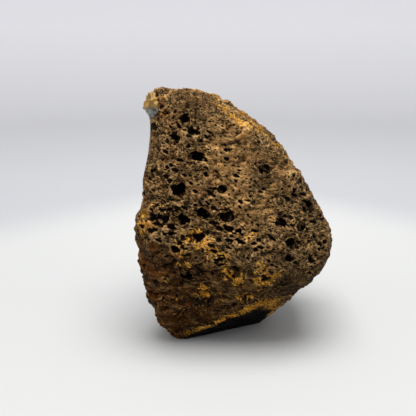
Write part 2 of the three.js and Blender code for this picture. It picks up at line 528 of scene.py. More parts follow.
@dataclass(frozen=True)
class GasHoles:
    """One size of the holes that gas left in the lava, ragged and drawn out along the flow."""

    spacing_mm: float
    radius: float  # of the widest holes, as a share of the spacing
    rarity: float  # the share of places that have no hole
    squash: float = 1.8  # how many times wider than high they are
    ragged: float = 0.3  # how uneven their outlines are

    def pattern(self, skin: Skin, crowd: Any) -> Any:
        """Draws the holes.

        Args:
            skin: The skin that has them.
            crowd: The socket of how large the holes may grow there, 1 for the sizes as given.

        Returns:
            The socket of how far a place is from a hole's middle: 1 at its edge, and less inside.
        """
        tree, near = skin.tree, 1 / self.spacing_mm
        flat = skin.along_flow((near, near, self.squash * near))
        bend = add_node(tree, NOISE, {"Vector": flat, **grain(0.9, 2.0)})[1]
        bent = add_node(tree, VECTOR, {0: bend, 1: (0.9,) * 3, 2: flat}, operation="MULTIPLY_ADD")[0]
        cells = add_node(tree, "ShaderNodeTexVoronoi", {"Vector": bent, "Scale": 1.0})
        crumbs = add_node(tree, NOISE, {"Vector": flat, **grain(2.6, 2.0, 0.6)})[0]
        away = weighed(tree, cells[0], (crumbs, self.ragged))
        away = add_node(tree, MATH, {0: away, 1: self.ragged / 2}, operation="SUBTRACT")[0]
        # Swarms of holes, a few centimetres across, lie between closer-grained rock.
        chance = add_node(tree, "ShaderNodeSeparateXYZ", {0: cells[1]})[0]
        swarm = add_node(tree, NOISE, {"Vector": skin.place, **grain(0.05, 2.0)})[0]
        limits = span(self.rarity + 0.45, 1.45, 0.002, self.radius)
        reach = add_node(tree, RANGE, {"Value": weighed(tree, chance, (swarm, 0.9)), **limits})[0]
        return add_node(tree, MATH, {0: away, 1: product(tree, reach, crowd)}, operation="DIVIDE")[0]


FINE_HOLES = GasHoles(spacing_mm=2.5, radius=0.62, rarity=0.2)
MIDDLE_HOLES = GasHoles(spacing_mm=4.4, radius=0.62, rarity=0.35, squash=1.7, ragged=0.5)
WIDE_HOLES = GasHoles(spacing_mm=9.0, radius=0.42, rarity=0.7, squash=1.6, ragged=0.5)


# ---- Finishes ----


@dataclass(frozen=True)
class WeatheredBasalt:
    """Vesicular basalt, broken out of the flow and weathered.

    It is dull and dusty, and clay and rust stain it tan and ochre. Its holes and hollows are painted nearly
    black inside as painted shade, with rims painted paler as painted highlights, its underside is painted
    black as painted shadow, and the glassy crumbs of fresh breaks glint a little.
    """

    tan: str = "a27744"
    brown: str = "2b1a09"
    grey: str = "5c4834"
    flow_brown: str = "40270f"
    # Painted shade: the near-black painted into the valleys of the flow's wrinkles.
    painted_valley_shade: str = "0b0500"
    iron: str = "5f3408"
    # Painted sheen: the pale grey-tan painted on the crests of the flow's wrinkles.
    painted_ridge_sheen: str = "7e5f38"
    # Painted shade: the near-black of the holes' insides and of hollows below the skin around them.
    hole: str = "020100"
    # Painted highlight: the pale tan of hole rims and of the crests between the bubbles.
    painted_rim_highlight: str = "d3a76b"
    straw: str = "f6c058"
    ochre: str = "d0850e"
    umber: str = "482604"
    rust: str = "7e3d16"
    # Painted shadow: the near-black of the underside below the ochre lip.
    painted_underside_shadow: str = "050301"
    relief_mm: float = 1.1  # of the grit and the smallest holes, which are too fine to model

    def material(self) -> Material:
        """Builds the finish.

        Returns:
            The material.
        """
        made, tree = blank_finish("weathered vesicular basalt")
        skin = Skin(tree, add_node(tree, NOTED, {}, attribute_name="skin_mm")["Vector"])
        names = "cavity_mm low ochre rust under holey dusky pits warm dull".split()
        noted = {name: add_node(tree, NOTED, {}, attribute_name=name)["Fac"] for name in names}

        # Clouds a centimetre across, then streaks of 2 mm, grit under a millimetre and stains' specks.
        clouds = add_node(tree, NOISE, {"Vector": skin.place, **grain(0.09, 4.0, 0.6)})
        hues, clouds = add_node(tree, "ShaderNodeSeparateColor", {0: clouds[1]}), clouds[0]
        drawn = skin.streaked()
        mottle, grit, specks = (
            add_node(tree, NOISE, {"Vector": drawn, **grain(*size)})[0]
            for size in ((0.5, 3.0, 0.7), (1.2, 3.0, 0.75), (0.6, 4.0, 0.7))
        )
        crest = skin.crests()
        # Less tan where holes swarm and in the dull patches, and as painted shade lower down and in the
        # scoops.
        blend = weighed(tree, mottle, (clouds, 1.8), (grit, 1.0), (noted["dusky"], -0.4))
        fold = weighed(tree, skin.flow_bands(2.5), (skin.flow_bands(8.0), 1.0), (grit, 3.0), (clouds, 3.0))
        shares = {
            name: add_node(tree, RANGE, {"Value": value, **limits})[0]
            for name, value, limits in (
                ("tan", blend, span(1.76, 2.06)),
                ("grey", hues[1], span(0.48, 0.62, high=0.5)),
                ("pale", grit, span(0.42, 0.6)),
                ("flow", fold, span(3.5, 4.35)),
                ("painted_ridge_sheen", fold, span(4.25, 4.9, high=0.9)),
                ("iron", hues[2], span(0.42, 0.6, high=0.55)),
                ("ochre", grit, span(0.37, 0.47)),
                ("straw", grit, span(0.49, 0.6)),
                ("painted_relief_light", noted["cavity_mm"], span(-0.6, 0.3, 1.6, 0.5)),
                ("gloss", grit, span(0.4, 0.72, 0.9, 0.5)),
            )
        }
        dim = weighed(tree, 1.0, (noted["dull"], -0.36), (noted["low"], -0.05))
        # Painted highlight: the crests between the bubbles are painted pale.
        pale = product(tree, crest, shares["pale"])
        low = product(tree, noted["low"], 0.95)
        iron = product(tree, noted["warm"], shares["iron"])
        painted_relief_light = product(tree, shares["painted_relief_light"], dim)

        # Brown rock under tan clay, with crests painted pale as painted highlights; the lower part is darker,
        # partly as painted shade, with the flow's wrinkles painted dark in their valleys as painted shade and
        # pale on their ridges as a painted sheen.
        flow = layered(tree, self.painted_valley_shade, (shares["flow"], self.flow_brown), (shares["painted_ridge_sheen"], self.painted_ridge_sheen))
        coats = [(shares["tan"], self.tan), (shares["grey"], self.grey), (pale, self.painted_rim_highlight), (low, flow)]
        coats.append((iron, self.iron))
        # Ochre and rust stains break up into specks of a few millimetres.
        gold = layered(tree, self.umber, (shares["ochre"], self.ochre), (shares["straw"], self.straw))
        for name, colour, strength in (("ochre", gold, 0.95), ("rust", self.rust, 0.7)):
            speckled = weighed(tree, specks, (noted[name], 0.32))
            speckled = {"Value": speckled, **span(0.66, 0.76, high=strength)}
            coats.append((add_node(tree, RANGE, speckled, **SMOOTH)[0], colour))
        # Holes: their rims are painted pale as painted highlights, and they are painted black inside as
        # painted shade.
        high = add_node(tree, MATH, {0: 1.0, 1: low}, operation="SUBTRACT")[0]
        dark = [skin.torn_pits(noted["pits"])]
        for kind, inner in ((FINE_HOLES, 0.55), (MIDDLE_HOLES, 0.7), (WIDE_HOLES, 0.75)):
            away = kind.pattern(skin, noted["holey"])
            inside = {"Value": away, **span(inner, 1.0, 1.0, 0.0)}
            dark.append(add_node(tree, RANGE, inside, **SMOOTH)[0])
            painted_rim_highlight = add_node(tree, RANGE, {"Value": away, **span(1.0, 1.6, 0.5, 0.0)})[0]
            coats.append((product(tree, painted_rim_highlight, high), self.painted_rim_highlight))
        holes, *others = dark
        for other in others:
            holes = add_node(tree, MATH, {0: holes, 1: other}, operation="MAXIMUM")[0]
        # Painted shade: points that lie below the skin around them are painted as dark as the holes.
        sunk = {"Value": noted["cavity_mm"], **span(0.15, 0.8)}
        sunk = add_node(tree, RANGE, sunk, **SMOOTH)[0]
        shade = add_node(tree, MATH, {0: holes, 1: sunk}, operation="MAXIMUM")[0]
        shade = product(tree, shade, 0.96)
        body = layered(tree, self.brown, *coats)
        # Painted light and shade from the relief: raised points are painted up to 1.6 times brighter and sunk
        # ones down to half, and the dull patches and the wrinkled zone a little dimmer.
        body = add_node(tree, VECTOR, {0: body, "Scale": painted_relief_light}, operation="SCALE")[0]
        # Painted shade: holes and hollows near black. Painted shadow: the underside near black below the lip.
        body = layered(tree, body, (shade, self.hole), (noted["under"], self.painted_underside_shadow))

        height = weighed(tree, grit, (crest, 0.5), (holes, -1.1))
        bump = add_node(tree, BUMP, {"Strength": 1.0, "Distance": self.relief_mm * MM, "Height": height})[0]
        look = {"Base Color": body, "Roughness": shares["gloss"], "Normal": bump}
        surface = add_node(tree, PRINCIPLED, {**look, "IOR": 1.5, "Specular IOR Level": 0.08})[0]
        add_node(tree, OUTPUT, {"Surface": surface})
        return made


@dataclass(frozen=True)
class BandedAgate:
    """Agate, a waxy banded chalcedony, broken and not polished.

    It is blue-grey with paler bands that follow the hollow's wall, and its weathered outside is olive tan.
    """

    grey: str = "5d6662"
    pale: str = "a8aaa0"
    deep: str = "3c484c"
    skin: str = "9a742b"
    iron: str = "5a3d20"

    def material(self) -> Material:
        """Builds the finish.

        Returns:
            The material.
        """
        made, tree = blank_finish("banded agate")
        place = add_node(tree, OBJECT_PLACE, {})["Object"]
        wander, cloud, specks = (
            add_node(tree, NOISE, {"Vector": place, **grain(*size)})[0]
            for size in ((0.12 / MM, 3.0), (0.2 / MM, 4.0, 0.6), (0.6 / MM, 4.0, 0.7))
        )
        level, clay, iron = (
            add_node(tree, NOTED, {}, attribute_name=name)["Fac"] for name in ("level", "clay", "iron")
        )
        # The lining is 5 mm thick, which the level crosses in about 0.15, so a band is 0.5 to 2 mm wide.
        across = add_node(tree, "ShaderNodeCombineXYZ", {0: weighed(tree, level, (wander, 0.07))})[0]
        wave = add_node(tree, NOISE, {"Vector": across, **grain(42.0, 2.0, 0.7)})[0]
        coats = [
            (add_node(tree, RANGE, {"Value": value, **limits})[0], colour)
            for value, limits, colour in (
                (wave, span(0.42, 0.58), self.pale),
                (cloud, span(0.4, 0.65), self.deep),
                (weighed(tree, clay, (specks, 0.9)), span(0.75, 1.1), self.skin),
                (weighed(tree, iron, (specks, 0.9)), span(0.75, 1.1), self.iron),
            )
        ]
        body = layered(tree, self.grey, *coats)
        bump = add_node(tree, BUMP, {"Strength": 0.5, "Distance": 0.6 * MM, "Height": specks})[0]
        look = {"Base Color": body, "Roughness": 0.4, "Normal": bump, "IOR": 1.54}
        waxy = {"Subsurface Weight": 0.12, "Subsurface Scale": 1.5 * MM}
        add_node(tree, OUTPUT, {"Surface": add_node(tree, PRINCIPLED, {**look, **waxy})[0]})
        return made


@dataclass(frozen=True)
class MilkyQuartz:
    """Milky quartz, the dull bed that the clear crystals grow from: chalky at its foot, purple in zones."""

    chalky: str = "8f8b94"
    pale: str = "ad94da"
    deep: str = "1c0e30"

    def material(self) -> Material:
        """Builds the finish.

        Returns:
            The material.
        """
        made, tree = blank_finish("milky quartz")
        place = add_node(tree, OBJECT_PLACE, {})["Object"]
        risen = add_node(tree, NOTED, {}, attribute_name="risen")["Fac"]
        # Purple zones, about 3 mm across, that show through the crystals' faces.
        zones = add_node(tree, NOISE, {"Vector": place, **grain(0.32 / MM, 3.0, 0.6)})[0]
        zones = add_node(tree, RANGE, {"Value": zones, **span(0.4, 0.6)})[0]
        colour = layered(tree, self.chalky, (risen, layered(tree, self.deep, (zones, self.pale))))
        look = {"Base Color": colour, "Roughness": 0.35, "IOR": 1.544}
        add_node(tree, OUTPUT, {"Surface": add_node(tree, PRINCIPLED, look)[0]})
        return made


@dataclass(frozen=True)
class AmethystCrystal:
    """Amethyst, clear purple quartz with natural crystal faces: bright, sharp glints over a deep colour."""

    tint: str = "e6d6fb"
    glint: str = "e0ccff"
    absorbed: str = "a94fcb"
    density: float = 62.0  # per metre: a centimetre of crystal is well purple

    def material(self) -> Material:
        """Builds the finish.

        Returns:
            The material.
        """
        made, tree = blank_finish("clear amethyst")
        place = add_node(tree, OBJECT_PLACE, {})["Object"]
        # Growth steps on the faces, drawn about 2 mm apart so that they show.
        steps = add_node(tree, NOISE, {"Vector": place, **grain(0.5 / MM, 3.0)})[0]
        bump = add_node(tree, BUMP, {"Strength": 0.12, "Distance": 0.3 * MM, "Height": steps})[0]
        look = {"Base Color": linear(self.tint), "Roughness": 0.04, "IOR": 1.544, "Transmission Weight": 1.0}
        look = {**look, "Specular Tint": linear(self.glint), "Normal": bump}
        body = {"Color": linear(self.absorbed), "Density": self.density}
        volume = add_node(tree, "ShaderNodeVolumeAbsorption", body)[0]
        add_node(tree, OUTPUT, {"Surface": add_node(tree, PRINCIPLED, look)[0], "Volume": volume})
        return made


@dataclass(frozen=True)
class MattPaper:
    """White backdrop paper, matt: a bright square sheet under the stone on a curved sweep that is painted
    greyer near it and brighter with distance and height, as painted light and shade.
    """

    sheet: str = "c6c7c5"
    sweep: str = "b7b8bb"
    high: str = "f4f4f7"
    turn: float = 22.0  # of the square sheet, in degrees
    half_m: float = 0.305
    edge_m: float = 0.06

    def material(self) -> Material:
        """Builds the finish.

        Returns:
            The material.
        """
        made, tree = blank_finish("matt backdrop paper")
        place = add_node(tree, OBJECT_PLACE, {})["Object"]
        turned = {"Vector": place, "Angle": math.radians(self.turn)}
        squared = add_node(tree, "ShaderNodeVectorRotate", turned)[0]
        away = add_node(tree, VECTOR, {0: squared}, operation="ABSOLUTE")[0]
        sides = add_node(tree, "ShaderNodeSeparateXYZ", {0: away})
        reach = add_node(tree, MATH, {0: sides[0], 1: sides[1]}, operation="MAXIMUM")[0]
        limits = span(self.half_m - self.edge_m, self.half_m + self.edge_m)
        off = add_node(tree, RANGE, {"Value": reach, **limits}, **SMOOTH)[0]
        # Painted light and shade: the sweep is painted brighter with distance and height.
        level = add_node(tree, VECTOR, {0: place, 1: (1.0, 1.0, 0.0)}, operation="MULTIPLY")[0]
        far = add_node(tree, VECTOR, {0: level}, operation="LENGTH")["Value"]
        rise = {"Value": weighed(tree, far, (sides[2], 2.0)), **span(0.39, 1.9)}
        sweep = layered(tree, self.sweep, (add_node(tree, RANGE, rise)[0], self.high))
        look = {"Base Color": layered(tree, self.sheet, (off, sweep)), "Roughness": 0.9}
        add_node(tree, OUTPUT, {"Surface": add_node(tree, PRINCIPLED, look)[0]})
        return made


# ---- The pieces ----

# Where the stone's skin differs from place to place.
SPOTS: dict[str, Sequence[Spot]] = {
    "ochre": (
        (-60, 79, 79, 4), (-4, 77, 75, 5), (14, 73, 73, 7), (26, 66, 71, 8), (99, 79, 62, 6),
        (94, 67, 57, 6), (58, 55, 63, 4), (49, 48, 66, 3), (61, 45, 62, 4), (30, 5, 53, 3),
        (21, 11, 51, 2.5), (-9, 2, 57, 5), (-5, 3, 54, 3), (3, -2, 53, 6), (11, -8, 53, 5),
        (19, -23, 52, 4), (41, -19, 56, 5.5), (38, -27, 55, 4.5), (2, -33, 56, 3), (28, -41, 55, 3),
        (-31, 11, 67, 6), (-9, -12, 59, 3), (160, 40, 62, 8), (150, -5, 58, 7), (-150, 20, 62, 6),
    ),
    "rust": ((-27, 8, 66, 4), (-13, -44, 61, 3), (-36, 20, 67, 5), (120, 20, 58, 6), (-160, -10, 60, 7)),
    "pale": ((18, 36, 57, 18), (44, 30, 56, 13), (-170, 40, 60, 25)),
    "dull": (
        (-20, 72, 84, 12), (50, 48, 62, 10), (96, 74, 60, 9), (-31, -2, 67, 6), (105, 55, 60, 18),
        (90, 30, 60, 18), (78, 8, 60, 14), (72, -14, 60, 16), (56, -10, 60, 12), (60, -30, 60, 14),
    ),
    "warm": ((-31, -2, 67, 6), (-34, -14, 66, 8), (-40, -30, 66, 10)),
    "scoops": (
        (43, 43, 60, 8), (-12, 18, 56, 8), (-22, 50, 76, 8), (54, -6, 57, 7), (70, 20, 58, 7),
        (32, -8, 52, 6), (-20, -14, 60, 7), (6, -42, 56, 6), (36, -46, 56, 6), (130, 25, 58, 9),
        (170, -5, 58, 9), (-150, 5, 58, 9), (-140, 40, 60, 8), (100, 20, 58, 8),
    ),
    "swarms": (
        (-24, 28, 66, 20), (-30, 48, 74, 16), (-8, 12, 56, 16), (62, 8, 60, 18), (70, 20, 60, 15),
        (130, 10, 60, 25), (-170, 30, 62, 20),
    ),
}
PITS: Sequence[Spot] = (
    (-17, 30, 59, 4.6), (-7, 48, 65, 3.4), (-2, 47, 64, 2.6), (12, 34, 52, 2.3), (43, 43, 60, 2.6),
    (-15, 16, 60, 4.2), (-10, 14, 55, 3.4), (-22, 14, 62, 3.0), (0, 19, 51, 2.2), (16, 21, 52, 2.6),
    (75, 19, 56, 2.8), (52, 12, 53, 2.5), (65, 7, 55, 2.4), (53, -8, 57, 2.6), (-36, 29, 67, 4.5),
    (-23, 49, 76, 3.8), (-21, 57, 81, 4.2), (-37, 56, 84, 3.2), (-9, -20, 57, 3.6), (21, -18, 52, 3.2),
    (-3, 4, 53, 3.8), (12, -12, 50, 3.0), (24, 8, 52, 2.4), (150, 35, 60, 4.0), (172, 12, 60, 4.5),
    (110, 5, 58, 3.6), (-165, -15, 58, 3.8),
)

# How high or deep each form of the stone's skin is.
RELIEF_MM = {
    "Lumps": 5.2, "Swells": 6.0, "Crests": 0.4, "Bands": 0.6, "Folds": 4.4,
    "Crags": 3.4, "Scoops": 1.8, "Pits": 4.0, "Middle holes": 1.5, "Wide holes": 3.4,
}


@dataclass
class Stone:
    """The basalt stone with its gas holes, flow bands and stains."""

    name: str = "basalt_stone"
    node: str = "basalt_rind"
    grain_mm: float = 0.62  # point spacing of the modelled skin
    most_triangles: int = 192000
    seed: int = 5
    low_top_mm: float = 63.0  # up to where the flow's wrinkles reach
    low_fade_mm: float = 18.0
    foot_mm: float = 0.3  # below this the stone is ground flat
    lip_mm: float = 1.9  # from the undercut to the middle of its ochre lip
    undercut: Triple = (50.0, -52.0, 59.0)  # turn, tilt and reach of the underside's break
    hollow: Hollow = field(default_factory=Hollow)

    def tone(self, mesh: Mesh) -> None:
        """Stores what the shape and the finish need to know at each point.

        Args:
            mesh: The evenly divided stone.
        """
        points = points_mm(mesh)
        along, up = points[:, 1], points[:, 2]
        rng = np.random.default_rng(self.seed)
        # Six broad waves and six short ones make the wrinkled zone's upper edge wander.
        waves = rng.normal(size=(12, 3)) / np.repeat((22, 6), 6)[:, None]
        wander = np.sin(points @ waves.T + rng.uniform(0, 6, 12)).sum(axis=1)
        low = np.clip((self.low_top_mm + 2.2 * wander - up - 0.2 * along) / self.low_fade_mm, 0, 1)

        # Outlines are torn by a millimetre and drift by three, so that no spot is round.
        turned, turned_on = points[:, [1, 2, 0]], points[:, [2, 0, 1]]
        ragged = np.sin(turned / 0.9 + 1.6 * np.sin(turned_on / 1.3))
        drift = np.sin(turned_on / 3.4 + 1.5 * np.sin(turned / 4.1))
        bent = points + ragged + 3.2 * drift
        near = {name: np.zeros(len(points)) for name in SPOTS}
        for name, spots in SPOTS.items():
            for *place, radius in spots:
                away = np.sum((bent - from_heart(*place)) ** 2, axis=1)
                near[name] = np.maximum(near[name], np.exp(-away / (1.5 * radius) ** 2))
        pits = np.zeros(len(points))
        for *place, radius in PITS:
            away = np.linalg.norm((points + 1.1 * ragged - from_heart(*place)) * (1, 1, 1.5), axis=1)
            pits = np.maximum(pits, np.clip(1.6 - away / radius, 0, None))

        turn, tilt, reach = self.undercut
        above = reach - (points - np.array(HEART_MM)) @ direction(turn, tilt)
        lip = np.exp(-(((above - self.lip_mm) / 1.6) ** 2)) * (up > 3)
        swarm = 0.74 + 0.7 * near["swarms"] + 0.1 * near["ochre"] - 0.25 * near["dull"]
        # Less tan where holes swarm and in the dull patches, and as painted shade towards the bottom and in
        # the scoops; the pale patches are less so.
        dusk = (near["swarms"], 0.9 * np.clip((95 - up) / 50, 0, 1), 0.9 * near["dull"], 0.8 * near["scoops"])
        calm = np.clip(above / 6.0, 0.35, 1) * (1 - 0.3 * near["dull"])
        outside = ramp(self.hollow.level(points), 1.015, 0.06)
        note(
            mesh,
            low=low,
            pits=pits,
            # Painted shadow on the underside, below the lip.
            under=np.clip(1.6 - above, 0, 1),
            ochre=np.maximum.reduce([near["ochre"], 0.8 * lip, 0.2 * low]),
            dull=near["dull"],
            rust=near["rust"],
            holey=swarm * (1 - 0.35 * low),
            dusky=np.maximum.reduce(dusk) - 0.8 * near["pale"],
            scoops=near["scoops"],
            warm=np.maximum(np.clip((10 - along) / 40, 0, 1), 3 * near["warm"]),
            open_skin=calm * outside * ramp(up, self.foot_mm, 3.0),
        )

    def relief(self) -> Tree:
        """Builds the tree that carves the skin and notes how deep each point lies.

        Returns:
            The tree.
        """
        tree, given = new_tree("Lava skin", {**RELIEF_MM, "Finish": MATERIAL})
        where = add_node(tree, PLACE, {})[0]
        place = add_node(tree, VECTOR, {0: where, "Scale": 1 / MM}, operation="SCALE")[0]
        shape = {"Geometry": given["Geometry"], "Name": "skin_mm", "Value": place}
        shape = add_node(tree, STORE, shape, data_type="FLOAT_VECTOR", domain="POINT")[0]
        skin = Skin(tree, add_node(tree, STORED, {"Name": "skin_mm"}, data_type="FLOAT_VECTOR")[0])
        low, bare, holey, pits, scoops = (
            add_node(tree, STORED, {"Name": name}, data_type="FLOAT")[0]
            for name in ("low", "open_skin", "holey", "pits", "scoops")
        )
        high = weighed(tree, 1.0, (low, -0.7))
        plain = add_node(tree, MATH, {0: low, 1: 0.3}, operation="MAXIMUM")[0]
        lumps, swells = (
            add_node(tree, NOISE, {"Vector": skin.place, **grain(*size)})[0]
            for size in ((0.15, 4.0), (0.06, 2.0))
        )
        # Blocky crags with creases between them, a centimetre across.
        flow = skin.along_flow((0.09, 0.09, 0.16), dip=-0.3)
        bend = add_node(tree, NOISE, {"Vector": flow, **grain(1.5, 3.0)})[1]
        bent = add_node(tree, VECTOR, {0: bend, 1: (1.2,) * 3, 2: flow}, operation="MULTIPLY_ADD")[0]
        crags = add_node(tree, "ShaderNodeTexVoronoi", {"Vector": bent, "Scale": 1.0})[0]
        crags = product(tree, crags, crags)
        # Each form has a pattern with a middle, a height, and a share: -1 where it is cut in.
        forms = [
            (lumps, 0.55, "Lumps", high),
            (swells, 0.55, "Swells", 1.0),
            (skin.crests(), 0.0, "Crests", high),
            (skin.flow_bands(2.5), 0.55, "Bands", low),
            (skin.flow_bands(9.0, sharp=False), 0.55, "Folds", plain),
            (crags, 0.22, "Crags", -1.0),
            (scoops, 0.0, "Scoops", -1.0),
            (skin.torn_pits(pits), 0.0, "Pits", -1.0),
        ]
        for kind, name in ((MIDDLE_HOLES, "Middle holes"), (WIDE_HOLES, "Wide holes")):
            hole = {"Value": kind.pattern(skin, holey), **span(0.55, 1.05, 1.0, 0.0)}
            forms.append((add_node(tree, RANGE, hole, **SMOOTH)[0], 0.0, name, -1.0))
        height = 0.0
        for pattern, middle, name, share in forms:
            part = add_node(tree, MATH, {0: pattern, 1: middle}, operation="SUBTRACT")[0]
            height = weighed(tree, height, (product(tree, part, given[name]), share))
        height = product(tree, height, bare, MM)

        # Holes are carved along the broad lie of the skin, so that their walls don't cross.
        normal = {"Value": add_node(tree, NORMAL, {})[0], "Iterations": 10}
        calm = add_node(tree, BLUR, normal, data_type="FLOAT_VECTOR")[0]
        calm = add_node(tree, VECTOR, {0: calm}, operation="NORMALIZE")[0]
        offset = add_node(tree, VECTOR, {0: calm, "Scale": height}, operation="SCALE")[0]
        shape = add_node(tree, MOVE, {"Geometry": shape, "Offset": offset})[0]
        # A point's depth is how far it lies below the skin around it.
        after = add_node(tree, PLACE, {})[0]
        around = add_node(tree, BLUR, {"Value": after, "Iterations": 14}, data_type="FLOAT_VECTOR")[0]
        sunk = add_node(tree, VECTOR, {0: around, 1: after}, operation="SUBTRACT")[0]
        sunk = {0: sunk, 1: add_node(tree, NORMAL, {})[0]}
        sunk = add_node(tree, VECTOR, sunk, operation="DOT_PRODUCT")["Value"]
        sunk = add_node(tree, MATH, {0: sunk, 1: MM}, operation="DIVIDE")[0]
        shape = {"Geometry": shape, "Name": "cavity_mm", "Value": sunk}
        shape = add_node(tree, STORE, shape, data_type="FLOAT", domain="POINT")[0]
        end_tree(tree, shape, [{"Material": given["Finish"]}])
        return tree

    def build(self) -> Piece:
        """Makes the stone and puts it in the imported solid's place.

        Returns:
            The finished piece.
        """
        piece = even_copy(self.node, self.name, self.grain_mm)
        self.tone(piece.data)
        dress_by(piece, self.relief(), {"Finish": WeatheredBasalt().material()})
        triangles = 2 * len(piece.data.polygons)
        if triangles > self.most_triangles:
            thin = piece.modifiers.new("Fewer faces", "DECIMATE")
            thin.ratio = self.most_triangles / triangles
        piece = baked(piece, self.name)
        piece.data.shade_smooth()
        return hand_over(piece, self.node)


@dataclass
class Lining:
    """The agate layer between the stone and the crystals."""

    name: str = "agate_layer"
    node: str = "agate_lining"
    grain_mm: float = 0.8
    relief_mm: float = 12.0
    hollow: Hollow = field(default_factory=Hollow)

    def relief(self) -> Tree:
        """Builds the tree that makes the broken edge and the lobe uneven.

        Returns:
            The tree.
        """
        tree, given = new_tree("Broken agate", {"Relief": self.relief_mm, "Finish": MATERIAL})
        where = add_node(tree, PLACE, {})[0]
        place = add_node(tree, VECTOR, {0: where, "Scale": 1 / MM}, operation="SCALE")[0]
        rough = add_node(tree, STORED, {"Name": "rough"}, data_type="FLOAT")[0]
        wave = add_node(tree, NOISE, {"Vector": place, **grain(0.22, 4.0, 0.6)})[0]
        wave = add_node(tree, MATH, {0: wave, 1: 0.55}, operation="SUBTRACT")[0]
        wave = product(tree, wave, given["Relief"], rough, MM)
        normal = add_node(tree, NORMAL, {})[0]
        offset = add_node(tree, VECTOR, {0: normal, "Scale": wave}, operation="SCALE")[0]
        shape = add_node(tree, MOVE, {"Geometry": given["Geometry"], "Offset": offset})[0]
        end_tree(tree, shape, [{"Material": given["Finish"]}])
        return tree

    def build(self) -> Piece:
        """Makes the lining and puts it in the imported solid's place.

        Returns:
            The finished piece.
        """
        piece = even_copy(self.node, self.name, self.grain_mm)
        points = points_mm(piece.data)
        up, level = points[:, 2], self.hollow.level(points)
        note(
            piece.data,
            level=level,
            clay=ramp(level, 0.97, 0.04) * ramp(up, 137, 5, least=0.3),
            # Iron stains the broken rim, but not the lobe at the corner.
            iron=ramp(level, 0.93, 0.05) * np.clip((132 - up) / 4, 0, 1),
            rough=ramp(level, 0.96, 0.04) * ramp(up, 40, 10),
        )
        dress_by(piece, self.relief(), {"Finish": BandedAgate().material()})
        piece = baked(piece, self.name)
        piece.data.shade_smooth()
        return hand_over(piece, self.node)


